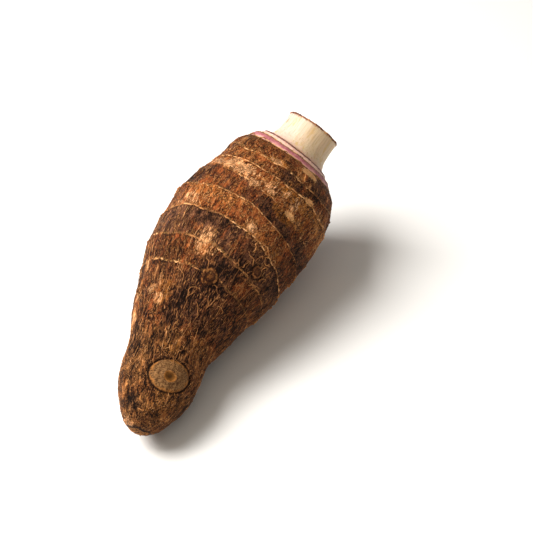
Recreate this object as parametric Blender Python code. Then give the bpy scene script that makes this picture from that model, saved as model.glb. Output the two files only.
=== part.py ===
"""A taro corm as dug and trimmed, lying on its side.

Four pieces: the brown ringed corm, the cut edges of its two outer leaf bases, which are short tubes one
inside the other round the crown, and the stub of the leaf stalks inside them.
Metres, +Z up. The root tip points to -X and the cut stalk to +X, and the corm lies on Z = 0.
"""

import math

import bmesh
import bpy
from mathutils import Vector, noise
from mathutils.geometry import interpolate_bezier

MM = 0.001
GAP = 0.3 * MM

# The corm's bent axis from the root tip to the cut stalk, as points in mm that it passes through.
AXIS_POINTS = (
    (0.0, -9.1, 16.5),
    (14.0, -6.8, 17.8),
    (32.2, -3.1, 19.3),
    (57.0, 0.5, 25.7),
    (88.2, 1.8, 32.8),
    (119.6, 0.6, 38.0),
    (143.9, -5.2, 45.0),
    (165.6, -8.7, 56.6),
    (184.5, -14.4, 69.1),
)
# The corm's outline as (distance along the axis, radius) in mm, root tip to crown edge.
CORM_OUTLINE = (
    (0.0, 0.0),
    (1.0, 4.6),
    (6.2, 9.8),
    (15.0, 14.4),
    (25.3, 18.2),
    (35.2, 19.6),
    (47.6, 20.1),
    (61.0, 24.2),
    (76.5, 28.7),
    (94.1, 34.0),
    (111.7, 36.3),
    (126.1, 37.2),
    (140.6, 36.3),
    (154.1, 33.9),
    (163.9, 31.3),
    (168.6, 29.4),
    (172.0, 26.4),
)
CORM_STATIONS = 52
CORM_SIDES = 56
CROWN = CORM_OUTLINE[-1][0] * MM
REST_FLAT = 1.6 * MM  # how much of the underside lies flattened on the surface
# The underside swells where the corm lies on it: (distance along, rise, span) in mm.
BELLIES = ((30.0, 2.0, 16.0), (122.0, 2.4, 28.0))

# Leaf scars: low shoulders that ring the corm, at distances in mm from the root tip.
LEAF_SCARS = (79.0, 90.5, 105.3, 122.5, 137.0, 151.0, 160.8)
SCAR_SHOULDER = 0.3 * MM
SCAR_FADE = 5.0 * MM

# Lumps of the grown surface.
LUMP_HEIGHT = 0.6 * MM
LUMP_SPAN = 26.0 * MM

# The crown stands askew: how far it slides along the axis for each mm towards +Y.
CROWN_SKEW = 0.08
SKEW_SPAN = (148.0 * MM, 172.0 * MM, 179.0 * MM, 193.0 * MM)

# Round marks as (distance along in mm, degrees from the top towards +Y, radius in mm, rise in mm).
CORMEL_SCAR = (24.8, -32.5, 9.75, 0.4)
BUDS = (
    (78.7, -25.0, 4.4, 0.5),
    (95.0, -60.0, 3.6, 0.4),
    (112.0, 95.0, 4.0, 0.6),
    (68.0, 130.0, 4.6, 0.6),
    (131.0, 40.0, 3.8, 0.5),
    (140.0, -150.0, 3.8, 0.5),
)

# Leaf bases and stalk stub, as (height above the crown, radius) in mm.
CROWN_SIDES = 48
OUTER_BASE_OUTSIDE = ((0.0, 25.9), (1.7, 25.2), (3.6, 23.7))
OUTER_BASE_INSIDE = 22.2
INNER_BASE_OUTSIDE = ((0.0, 21.9), (3.8, 21.8), (6.8, 19.9))
INNER_BASE_INSIDE = 18.6
STUB_OUTSIDE = (
    (0.0, 18.3),
    (6.6, 18.3),
    (7.6, 17.0),
    (9.8, 15.9),
    (13.0, 14.9),
    (18.0, 14.5),
    (23.2, 14.6),
    (24.0, 14.3),
)
STUB_CUT_HEIGHT = 23.9
STUB_PITH = (9.0, 7.5, 0.5)  # radius of the pith at the cut and in its hollow, and the hollow's depth

# Colours as linear RGB, and roughness.
SKIN = ((0.105, 0.048, 0.021), 0.85)
MAUVE = ((0.33, 0.11, 0.16), 0.6)
PALE_PINK = ((0.62, 0.34, 0.29), 0.6)
CREAM = ((0.80, 0.66, 0.42), 0.5)


def clear_scene():
    """Remove every object that the scene starts with."""
    for obj in list(bpy.data.objects):
        bpy.data.objects.remove(obj, do_unlink=True)


def smooth_path(points, steps):
    """A curve through the points, as a list with a given number of steps between each two."""
    knots = [Vector(p) for p in points]
    ends = [knots[0] * 2 - knots[1], *knots, knots[-1] * 2 - knots[-2]]
    path = [knots[0]]
    for before, start, end, after in zip(ends, ends[1:], ends[2:], ends[3:]):
        handle_1 = start + (end - before) / 6
        handle_2 = end - (after - start) / 6
        path += interpolate_bezier(start, handle_1, handle_2, end, steps + 1)[1:]
    return path


def even_points(path, count):
    """Points spaced evenly along a path, both of its ends included."""
    lengths = [0.0]
    for a, b in zip(path, path[1:]):
        lengths.append(lengths[-1] + (b - a).length)
    points = []
    i = 0
    for k in range(count):
        wanted = lengths[-1] * k / (count - 1)
        while i < len(path) - 2 and lengths[i + 1] < wanted:
            i += 1
        share = (wanted - lengths[i]) / (lengths[i + 1] - lengths[i])
        points.append(path[i].lerp(path[i + 1], share))
    return points


AXIS_STEP = 1.0 * MM
AXIS_COUNT = 240


def make_axis():
    """The bent axis at every AXIS_STEP, run on straight past its last point."""
    path = smooth_path([Vector(p) * MM for p in AXIS_POINTS], 12)
    length = sum((b - a).length for a, b in zip(path, path[1:]))
    axis = even_points(path, round(length / AXIS_STEP) + 1)
    run_on = axis[-1] - axis[-2]
    while len(axis) < AXIS_COUNT:
        axis.append(axis[-1] + run_on)
    return axis


AXIS = make_axis()


def ease(share):
    """From 0 to 1, flat at both ends."""
    share = min(max(share, 0.0), 1.0)
    return share * share * (3 - 2 * share)


def skew_at(s):
    """How much of the crown's skew there is at a distance along the axis."""
    start, full, fall, end = SKEW_SPAN
    return CROWN_SKEW * ease((s - start) / (full - start)) * ease((end - s) / (end - fall))


def bent(straight):
    """Where a point goes when the straight corm, which lies along +X, takes its bend."""
    straight = straight + Vector((straight.y * skew_at(straight.x), 0, 0))
    place = min(max(straight.x / AXIS_STEP, 0.0), AXIS_COUNT - 2.001)
    i = int(place)
    centre = AXIS[i].lerp(AXIS[i + 1], place - i)
    before, after = AXIS[max(i - 4, 0)], AXIS[i + 5 if i + 5 < AXIS_COUNT else -1]
    along = (after - before).normalized()
    side = Vector((0, 0, 1)).cross(along).normalized()
    up = along.cross(side)
    overrun = straight.x - place * AXIS_STEP
    return centre + along * overrun + side * straight.y + up * straight.z


def around(s, degrees, radius):
    """The straight corm's surface point at a distance along it and an angle round from the top."""
    angle = math.radians(degrees)
    return Vector((s, radius * math.sin(angle), radius * math.cos(angle)))


def bell(distance, width):
    """A smooth bump: 1 at no distance, near 0 past the width."""
    return math.exp(-((1.6 * distance / width) ** 2))


def scar_relief(s, angle):
    """The leaf scars' shoulders: each steps up sharply and fades towards the root."""
    relief = 0.0
    for at in LEAF_SCARS:
        wander = 1.3 * math.sin(angle + at) + 0.7 * math.sin(3 * angle + 2 * at)
        below = (at + wander) * MM - s
        relief += SCAR_SHOULDER * bell(below, SCAR_FADE if below > 0 else SCAR_FADE / 3)
    return relief


def belly_relief(s, angle):
    """The low swells under the root end and under the widest part, which carry the weight."""
    under = bell(math.pi - abs(angle), 1.1)
    return sum(under * rise * MM * bell(s - at * MM, span * MM) for at, rise, span in BELLIES)


def mark_relief(point, radius_here):
    """The cormel scar, a low flat-topped pad with a hollow eye, and the buds, low domes."""
    relief = 0.0
    s, degrees, radius, rise = CORMEL_SCAR
    away = (point - around(s * MM, degrees, radius_here)).length / (radius * MM)
    relief += rise * MM * (1 / (1 + away**8) - 0.5 * bell(away, 0.35))
    for s, degrees, radius, rise in BUDS:
        away = (point - around(s * MM, degrees, radius_here)).length
        relief += rise * MM * bell(away, radius * MM)
    return relief


def spun(profile, sides):
    """A mesh turned about the X axis from a profile of (x, radius) points in metres."""
    bm = bmesh.new()
    verts = [bm.verts.new((x, 0.0, radius)) for x, radius in profile]
    edges = [bm.edges.new(pair) for pair in zip(verts, verts[1:])]
    if profile[0] != profile[-1] and profile[0][1] > 0:
        edges.append(bm.edges.new((verts[-1], verts[0])))
    bmesh.ops.spin(
        bm,
        geom=verts + edges,
        cent=(0, 0, 0),
        axis=(1, 0, 0),
        angle=math.tau,
        steps=sides,
        use_merge=True,
    )
    bmesh.ops.remove_doubles(bm, verts=bm.verts, dist=0.00001)
    bmesh.ops.recalc_face_normals(bm, faces=bm.faces)
    return bm


def named_piece(name, bm, finish):
    """The mesh as an object of that name, shaded smooth, with its own material."""
    mesh = bpy.data.meshes.new(name)
    bm.to_mesh(mesh)
    bm.free()
    mesh.shade_smooth()
    mesh.set_sharp_from_angle(angle=math.radians(40))
    colour, roughness = finish
    material = bpy.data.materials.new(name)
    material.use_nodes = True
    shader = material.node_tree.nodes["Principled BSDF"]
    shader.inputs["Base Color"].default_value = (*colour, 1.0)
    shader.inputs["Roughness"].default_value = roughness
    shader.inputs["Metallic"].default_value = 0.0
    mesh.materials.append(material)
    obj = bpy.data.objects.new(name, mesh)
    bpy.context.scene.collection.objects.link(obj)
    return obj


def make_corm():
    """The swollen stem: turned from its outline, given its relief, then bent and laid down."""
    outline = smooth_path([Vector((*p, 0.0)) * MM for p in CORM_OUTLINE], 10)
    profile = [(max(p.x, 0.0), max(p.y, 0.0)) for p in even_points(outline, CORM_STATIONS)]
    crown_radius = profile[-1][1]
    profile += [(CROWN, crown_radius * share) for share in (0.97, 0.6, 0.0)]
    bm = spun(profile, CORM_SIDES)
    for vert in bm.verts:
        radius = math.hypot(vert.co.y, vert.co.z)
        if radius > 0:
            outward = Vector((0, vert.co.y, vert.co.z)) / radius
            angle = math.atan2(vert.co.y, vert.co.z)
            relief = LUMP_HEIGHT * noise.noise(vert.co / LUMP_SPAN)
            relief += scar_relief(vert.co.x, angle) + mark_relief(vert.co, radius)
            relief += belly_relief(vert.co.x, angle)
            fade = min(radius / (10 * MM), 1.0) * min((CROWN - vert.co.x) / (4 * MM), 1.0)
            vert.co += outward * relief * fade
        vert.co = bent(vert.co)
    floor = min(vert.co.z for vert in bm.verts) + REST_FLAT
    for vert in bm.verts:
        vert.co.z = max(vert.co.z - floor, 0.0)
    return named_piece("corm", bm, SKIN), floor


def crown_piece(name, profile, floor, finish):
    """A piece turned about the crown's end of the axis from (height, radius) points in mm."""
    bm = spun([(CROWN + GAP + height * MM, radius * MM) for height, radius in profile], CROWN_SIDES)
    for vert in bm.verts:
        vert.co = bent(vert.co)
        vert.co.z -= floor
    return named_piece(name, bm, finish)


def leaf_base(name, outside, inside, floor, finish):
    """One trimmed leaf base: a short tube that stands on the crown."""
    top = outside[-1][0]
    profile = (*outside, (top, inside), (0.0, inside))
    return crown_piece(name, profile, floor, finish)


def make_stub(floor):
    """The stub of the leaf stalks, with a shallow hollow in the pith of its cut."""
    rim_radius, hollow_radius, depth = STUB_PITH
    hollow = STUB_CUT_HEIGHT - depth
    profile = (
        (0.0, 0.0),
        *STUB_OUTSIDE,
        (STUB_CUT_HEIGHT, rim_radius),
        (hollow, hollow_radius),
        (hollow, 0.0),
    )
    return crown_piece("stalk_stub", profile, floor, CREAM)


def centre_on_origin(pieces):
    """Slide the pieces so that the origin is under the middle of their common box."""
    corners = [vert.co for obj in pieces for vert in obj.data.vertices]
    middle = [(min(c[i] for c in corners) + max(c[i] for c in corners)) / 2 for i in (0, 1)]
    for obj in pieces:
        for vert in obj.data.vertices:
            vert.co -= Vector((*middle, 0.0))


def main():
    """Build the four pieces where they belong."""
    clear_scene()
    corm, floor = make_corm()
    outer = leaf_base("outer_leaf_base", OUTER_BASE_OUTSIDE, OUTER_BASE_INSIDE, floor, MAUVE)
    inner = leaf_base("inner_leaf_base", INNER_BASE_OUTSIDE, INNER_BASE_INSIDE, floor, PALE_PINK)
    stub = make_stub(floor)
    centre_on_origin([corm, outer, inner, stub])


main()
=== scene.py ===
"""The looks of a trimmed taro corm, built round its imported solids.

Every piece is first made straight, in millimetres: the corm lies along X with its root tip at X = 0, and what
is its top once it lies down points to +Z. The last step gives the piece the corm's bend and puts it where the
packed corm lies, in metres.
"""

import logging
import math
from dataclasses import dataclass, field
from enum import Enum
from typing import Any, Callable, Sequence, Union

import bmesh
import bpy
import numpy as np
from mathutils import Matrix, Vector, noise
from mathutils.geometry import interpolate_bezier


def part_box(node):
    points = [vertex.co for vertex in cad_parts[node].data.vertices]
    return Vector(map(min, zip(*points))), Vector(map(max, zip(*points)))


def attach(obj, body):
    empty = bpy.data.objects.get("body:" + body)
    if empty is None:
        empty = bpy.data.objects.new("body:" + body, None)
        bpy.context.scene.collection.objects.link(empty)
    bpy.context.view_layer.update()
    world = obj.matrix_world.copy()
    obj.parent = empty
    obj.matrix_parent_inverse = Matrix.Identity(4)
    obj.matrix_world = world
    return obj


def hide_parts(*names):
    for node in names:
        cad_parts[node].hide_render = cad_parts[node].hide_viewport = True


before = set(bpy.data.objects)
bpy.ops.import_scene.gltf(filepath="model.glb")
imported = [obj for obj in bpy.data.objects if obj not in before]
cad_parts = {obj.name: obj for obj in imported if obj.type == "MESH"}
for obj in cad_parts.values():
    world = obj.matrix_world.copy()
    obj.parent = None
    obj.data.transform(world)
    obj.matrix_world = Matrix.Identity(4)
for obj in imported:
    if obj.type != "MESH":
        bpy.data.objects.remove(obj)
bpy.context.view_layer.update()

MM = 0.001
BODY = "root"
Colour = tuple[float, float, float]
Number = Union[float, "Signal"]
Array = np.ndarray
Piece = bpy.types.Object
Mesh = bpy.types.Mesh
Material = bpy.types.Material

logging.basicConfig(level=logging.INFO, format="%(message)s")
log = logging.getLogger("taro")


def paint(red: int, green: int, blue: int) -> Colour:
    """A colour as a paint chart gives it, 0 to 255 on a screen, turned into linear light.

    Args:
        red: The red share.
        green: The green share.
        blue: The blue share.

    Returns:
        The three linear shares.
    """
    shares = [value / 255 for value in (red, green, blue)]
    return tuple(s / 12.92 if s < 0.04045 else ((s + 0.055) / 1.055) ** 2.4 for s in shares)


def bell(distance: Any, width: Any) -> Any:
    """A smooth bump: 1 at no distance and near 0 past the width, for a number or an array."""
    return np.exp(-((1.6 * distance / width) ** 2))


def ease(share: Any) -> Any:
    """From 0 to 1, flat at both ends, for a number or an array."""
    share = np.clip(share, 0.0, 1.0)
    return share * share * (3 - 2 * share)


def smooth_path(points: Sequence[Sequence[float]], steps: int) -> Array:
    """A smooth curve through some points.

    Args:
        points: The points, with three numbers each.
        steps: How many steps the curve has between two of them.

    Returns:
        The curve's points, one row each.
    """
    knots = [Vector(point) for point in points]
    ends = [knots[0] * 2 - knots[1], *knots, knots[-1] * 2 - knots[-2]]
    path = [knots[0]]
    for before, start, end, after in zip(ends, ends[1:], ends[2:], ends[3:]):
        handles = start + (end - before) / 6, end - (after - start) / 6
        path += interpolate_bezier(start, *handles, end, steps + 1)[1:]
    return np.array(path)


def even_points(path: Array, count: int) -> Array:
    """Points spaced evenly along a path.

    Args:
        path: The path's points, one row each.
        count: How many points are wanted, both ends included.

    Returns:
        The evenly spaced points.
    """
    steps = np.linalg.norm(np.diff(path, axis=0), axis=1)
    lengths = np.concatenate([[0.0], np.cumsum(steps)])
    wanted = np.linspace(0.0, lengths[-1], count)
    return np.stack([np.interp(wanted, lengths, path[:, i]) for i in range(3)], axis=1)


def off_axis(along: Any, radius: Any, angle: Any) -> Array:
    """Points of the straight corm, in mm, from angles in radians that count from the top towards +Y."""
    places = np.broadcast_arrays(along, radius * np.sin(angle), radius * np.cos(angle))
    return np.stack(places, axis=-1)


# --- Shader wiring ---


class CellFeature(Enum):
    """What the distance in a cell pattern is measured to."""

    MIDDLE = "F1"
    BORDER = "DISTANCE_TO_EDGE"


class Signal:
    """A shader socket that Python's arithmetic works on."""

    def __init__(self, wiring: "Wiring", socket: bpy.types.NodeSocket) -> None:
        """Wrap a socket of the tree that wiring builds."""
        self.wiring = wiring
        self.socket = socket

    def __add__(self, other: Number) -> "Signal":
        """The sum."""
        return self.wiring.maths("ADD", self, other)

    def __sub__(self, other: Number) -> "Signal":
        """The difference."""
        return self.wiring.maths("SUBTRACT", self, other)

    def __rsub__(self, other: Number) -> "Signal":
        """The difference from a plain number."""
        return self.wiring.maths("SUBTRACT", other, self)

    def __mul__(self, other: Number) -> "Signal":
        """The product."""
        return self.wiring.maths("MULTIPLY", self, other)

    __radd__ = __add__
    __rmul__ = __mul__


class Wiring:
    """One material and the nodes that are added to it."""

    def __init__(self, name: str) -> None:
        """Make the material with nothing but its shader in it."""
        self.material = bpy.data.materials.new(name)
        self.material.use_nodes = True
        self.tree = self.material.node_tree
        self.shader = self.tree.nodes["Principled BSDF"]

    def node(self, kind: str, settings: dict[str, Any], inputs: dict[Any, Any]) -> bpy.types.Node:
        """Add one node.

        Args:
            kind: The node's type.
            settings: Its own settings, which are set first.
            inputs: A number, colour, vector or Signal for each socket that isn't left as it is.

        Returns:
            The new node.
        """
        made = self.tree.nodes.new(kind)
        for name, value in settings.items():
            setattr(made, name, value)
        self.feed(made.inputs, inputs)
        return made

    def feed(self, sockets: Any, values: dict[Any, Any]) -> None:
        """Link every Signal to its socket, and set every other value on its own."""
        for key, value in values.items():
            if isinstance(value, Signal):
                self.tree.links.new(value.socket, sockets[key])
            else:
                sockets[key].default_value = value

    def maths(self, operation: str, *values: Number) -> Signal:
        """A Math node's result."""
        made = self.node("ShaderNodeMath", {"operation": operation}, dict(enumerate(values)))
        return Signal(self, made.outputs[0])

    def attribute(self, name: str) -> Signal:
        """A number that each of the piece's points carries."""
        made = self.node("ShaderNodeAttribute", {"attribute_name": name}, {})
        return Signal(self, made.outputs["Fac"])

    def straight(self, scale: Sequence[float]) -> Signal:
        """The straight corm's coordinates in mm, scaled. A scale that is left out is the last one given."""
        place = self.node("ShaderNodeAttribute", {"attribute_name": "straight"}, {})
        inputs = {0: Signal(self, place.outputs["Vector"]), 1: (*scale, scale[-1])[:3]}
        made = self.node("ShaderNodeVectorMath", {"operation": "MULTIPLY"}, inputs)
        return Signal(self, made.outputs["Vector"])

    def noise(self, scale: Sequence[float], detail: float = 2.0, roughness: float = 0.5) -> Signal:
        """Cloudy noise on the straight corm, from about 0.25 to 0.75 with a mean of 0.5."""
        inputs = {"Vector": self.straight(scale), "Scale": 1.0, "Detail": detail, "Roughness": roughness}
        made = self.node("ShaderNodeTexNoise", {}, inputs)
        return Signal(self, made.outputs["Fac"])

    def cells(self, where: Signal, feature: CellFeature) -> Signal:
        """The distance to a feature of the cells round scattered points."""
        made = self.node("ShaderNodeTexVoronoi", {"feature": feature.value}, {"Vector": where, "Scale": 1.0})
        return Signal(self, made.outputs["Distance"])

    def cell_tone(self, where: Signal) -> Signal:
        """A share from 0 to 1 that is the same all over a cell and differs from cell to cell."""
        settings = {"feature": CellFeature.MIDDLE.value}
        made = self.node("ShaderNodeTexVoronoi", settings, {"Vector": where, "Scale": 1.0})
        parts = self.node("ShaderNodeSeparateColor", {}, {0: Signal(self, made.outputs["Color"])})
        return Signal(self, parts.outputs[0])

    def shaken(self, where: Signal, amount: float) -> Signal:
        """Coordinates moved about by noise, which makes the borders of cells ragged."""
        inputs = {"Vector": where, "Scale": 1.0, "Detail": 2.0}
        shake = self.node("ShaderNodeTexNoise", {}, inputs)
        inputs = {0: Signal(self, shake.outputs["Color"]), 1: (amount, amount, amount), 2: where}
        made = self.node("ShaderNodeVectorMath", {"operation": "MULTIPLY_ADD"}, inputs)
        return Signal(self, made.outputs["Vector"])

    def step(self, value: Number, low: float, high: float) -> Signal:
        """A soft step from 0 at low to 1 at high, where low may be the larger."""
        inputs = {"Value": value, "From Min": low, "From Max": high, "To Min": 0.0, "To Max": 1.0}
        made = self.node("ShaderNodeMapRange", {"interpolation_type": "SMOOTHSTEP", "clamp": True}, inputs)
        return Signal(self, made.outputs["Result"])

    def ring(self, distance: Signal, middle: float, half_width: float) -> Signal:
        """1 on a circle at a distance and 0 past half a width from it."""
        off = self.maths("ABSOLUTE", distance - middle)
        return self.step(off, half_width, 0.0)

    def blend(self, share: Number, first: Any, second: Any) -> Signal:
        """Two colours mixed by a share."""
        settings = {"data_type": "RGBA", "blend_type": "MIX", "clamp_factor": True}
        sources = {0: share, 6: self.solid(first), 7: self.solid(second)}
        made = self.node("ShaderNodeMix", settings, sources)
        return Signal(self, made.outputs[2])

    def layers(self, base: Any, *layers: tuple[Number, Any]) -> Signal:
        """A colour with others laid over it in turn, each given as its share and its colour."""
        for share, colour in layers:
            base = self.blend(share, base, colour)
        return base

    @staticmethod
    def solid(colour: Any) -> Any:
        """A plain colour with its alpha, or a Signal as it is."""
        return colour if isinstance(colour, Signal) else (*colour, 1.0)

    def finish(self, colour: Signal, roughness: Number, height: Signal, depth: float) -> Material:
        """Wire up the shader.

        Args:
            colour: The base colour.
            roughness: The roughness, from 0 to 1.
            height: The fine relief, of which 1 stands for the depth.
            depth: That depth in mm.

        Returns:
            The finished material.
        """
        bump = self.node("ShaderNodeBump", {}, {"Height": height, "Distance": depth * MM, "Strength": 1.0})
        normal = Signal(self, bump.outputs["Normal"])
        self.feed(self.shader.inputs, {"Base Color": colour, "Roughness": roughness, "Normal": normal})
        return self.material


# --- The corm's shape ---


@dataclass(frozen=True)
class LeafScar:
    """A ring that a fallen leaf left, and the band of skin on its root side.

    It stands at a distance along the corm in mm, and leans over by some mm towards an angle round it, in
    degrees from the top towards +Y. The light and warmth are those of the band.
    """

    along: float
    lean: float
    towards: float
    boldness: float
    light: float
    warmth: float

    def place(self, angle: Any) -> Any:
        """How far along the ring stands at an angle round the corm, in radians."""
        lean = self.lean * np.cos(angle - math.radians(self.towards))
        wander = 0.55 * np.sin(5 * angle + self.along) + 0.35 * np.sin(11 * angle + 2 * self.along)
        return self.along + lean + wander


@dataclass(frozen=True)
class Mark:
    """A round mark: mm along, degrees from the top towards +Y, radius in mm and rise in mm.

    It may be stretched one way and narrowed the other, the long way being turned by some degrees from the
    corm's length towards +Y.
    """

    along: float
    degrees: float
    radius: float
    rise: float
    stretch: float = 1.0
    turn: float = 0.0


@dataclass(frozen=True)
class Patch:
    """A patch of another colour, at (along, degrees), fading over a length and a width in mm."""

    along: float
    degrees: float
    length: float
    width: float
    strength: float = 1.0


def rows_of(kind: Callable[..., Any], *rows: Sequence[Any]) -> tuple[Any, ...]:
    """Things of one kind, each made from its row of values."""
    return tuple(kind(*row) for row in rows)


LEAF_SCARS = rows_of(
    LeafScar,
    (79, 1.2, 60, 0.60, -0.09, -0.05), (90.5, 2.6, 60, 0.95, -0.05, 0.00),
    (105.3, 2.5, 40, 1.00, 0.00, -0.60), (122.5, 1, 20, 0.95, 0.17, 0.60),
    (137, 1, -20, 0.40, -0.04, -0.30), (151, 1.4, 20, 0.90, 0.20, 0.50),
    (160.8, 2.8, 60, 0.60, 0.19, 0.30), (173, 0, 0, 0.00, 0.19, 0.16),
)
CORMEL_SCAR = Mark(24.8, -32.5, 9.75, 0, 1.11, -60.4)
CORMEL_EYE = Mark(23.4, -32.3, 9.75, 0, 1.04, -60.4)
ROOT_TIP = Mark(0.6, 170, 5.6, 0)
BUDS = rows_of(
    Mark,
    (78.7, -25, 4.9, 0.5), (95, -60, 3.6, 0.4), (112, 95, 4, 0.6), (68, 130, 4.6, 0.6),
    (131, 40, 3.8, 0.5), (140, -150, 3.8, 0.5),
)
SMALL_BUDS = rows_of(
    Mark,
    (65.7, 30, 1.7, 0.45), (67.4, 60, 1.6, 0.4), (104, -128, 1.8, 0.4), (126, 128, 1.7, 0.4),
)
# The swells of the underside that carry the weight: (along, rise, span) in mm.
BELLIES = ((30, 2.0, 16), (122, 2.4, 28))
# The skin's lumps, knobs, lengthwise ridges and crumbs: (height, length, width) in mm.
GRAIN = ((0.6, 26, 26), (0.34, 7.5, 7.5), (0.30, 7, 2), (0.14, 2.4, 1.4))
# A leaf scar's shoulder, which falls off slowly to its root side, and its thin lip, in mm.
SHOULDER = 0.20
SHOULDER_ROOT_SPAN = 5.0
SHOULDER_CROWN_SPAN = 1.5
LIP = 0.22
LIP_SPAN = 0.8
# Rings about a mark: (rise in mm, distance from its middle, width), the last two in the mark's radii.
SCAR_RINGS = ((0.45, 1.2, 0.22), (-0.5, 1.04, 0.1))
EYE_RINGS = ((0.3, 0.33, 0.12), (-0.5, 0, 0.3))
TIP_RINGS = ((-0.7, 1.05, 0.16),)
BUD_RINGS = ((-0.5, 1, 0.3), (0.3, 0, 0.35))
BUD_WIDTH = 1.1

WORN = rows_of(
    Patch,
    (144.5, 4, 5.6, 13, 1.05), (143.5, 32, 5, 10, 0.75), (139, -14, 4, 6, 0.8), (142, -28, 5, 6, 0.55),
    (145, -46, 6, 10, 0.42), (150.5, 14, 2.5, 5, 0.9), (163, -15, 2.6, 5, 0.7), (112, 24, 7, 9, 0.5),
    (91, -9, 5.6, 5.6, 0.72), (96, -5, 4.5, 2.2, 0.6), (89, -15, 2, 3.5, 0.8),
    (110.5, -35, 3.2, 3, 0.75), (71.5, -46, 3, 2, 0.5), (62, 19, 3, 2.6, 1.2), (66, 30, 3, 3, 1.1),
    (54.5, 60, 6, 2.8, 1.3), (79.5, 48, 6.5, 1.7, 1), (66, 58, 6, 2.2, 0.8), (70, 24, 6, 2.2, 0.5),
    (1.5, 80, 3.2, 4.6, 1.1), (118, 150, 8, 6, 0.8), (92, 110, 6, 5, 0.8), (140, 95, 5, 8, 0.7),
    (150, -120, 5, 6, 0.7), (85, -125, 7, 4, 0.6), (48, 120, 6, 4, 0.7),
)
BARE = rows_of(
    Patch,
    (169.2, -51, 3, 6, 0.95), (153, -60, 2.3, 4.4, 0.9), (139.2, -54, 2.8, 5, 0.8),
    (120, 146, 5, 4, 1.1), (146, -116, 3, 4, 1.1),
)
# Darker skin, partly painted shade: the wide patches round -60 to -90 degrees, on the side turned from the
# key light, darken it as shade would.
DARK_AND_SHADE = rows_of(
    Patch,
    (79, -20, 8, 9, 0.45), (160, -62, 6, 8, 0.7), (165, -62, 5, 9, 0.6), (158.8, -34, 4, 7, 0.9),
    (154, -30, 3, 4, 0.9), (154.6, -46, 3.5, 4, 0.9), (167, -6, 3, 13, 0.5), (103.5, 0, 5, 11, 0.45),
    (85, -35, 5.5, 7, 0.8), (92, -44, 4, 6, 0.8), (64, -10, 5, 5, 1), (77, -34, 7, 8, 0.7),
    (72, -12, 5, 5, 0.5), (60, -34, 8, 7, 0.5), (46, -40.6, 2.2, 1.9, 1.5), (41, -36, 1.9, 1.7, 1.5),
    (54, -50, 2.8, 2.3, 1.4), (55, -4, 3, 3, 1.1), (5, -60, 3.4, 2.6, 0.9), (8.5, 30, 4, 5, 0.9),
    (43, 45, 6, 5, 0.8), (129, -40, 7, 8, 0.5), (75, -82, 26, 15, 0.5), (112, -86, 26, 13, 0.6),
    (165, -80, 9, 12, 0.5), (100, 150, 10, 9, 0.6), (60, -140, 8, 7, 0.6), (155, 120, 5, 10, 0.6),
)
GOLD = rows_of(
    Patch,
    (135.5, -48, 5, 9, 0.8), (66, 12, 10, 6, 0.6), (8, -38, 4.5, 6, 0.7), (163, -16, 2.8, 5.5, 1.2),
    (148.5, -52, 4.5, 14, 0.9), (149, -90, 5, 14, 0.7), (139.5, -66, 4, 7, 0.8), (110, -64, 6, 8, 0.5),
    (40, -22, 6, 8, 0.8), (46, -56, 7, 6, 0.6), (14.5, -50, 4.5, 7, 1), (20, -8, 5, 3, 0.6),
    (18, -76, 5, 6, 0.6), (66, 52, 14, 4, 0.6), (124, 100, 9, 10, 0.5), (84, 160, 12, 9, 0.5),
    (132, -140, 8, 12, 0.5), (30, 140, 9, 7, 0.6),
)
PATCHES = {"worn": WORN, "bare": BARE, "dark": DARK_AND_SHADE, "gold": GOLD}


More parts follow.
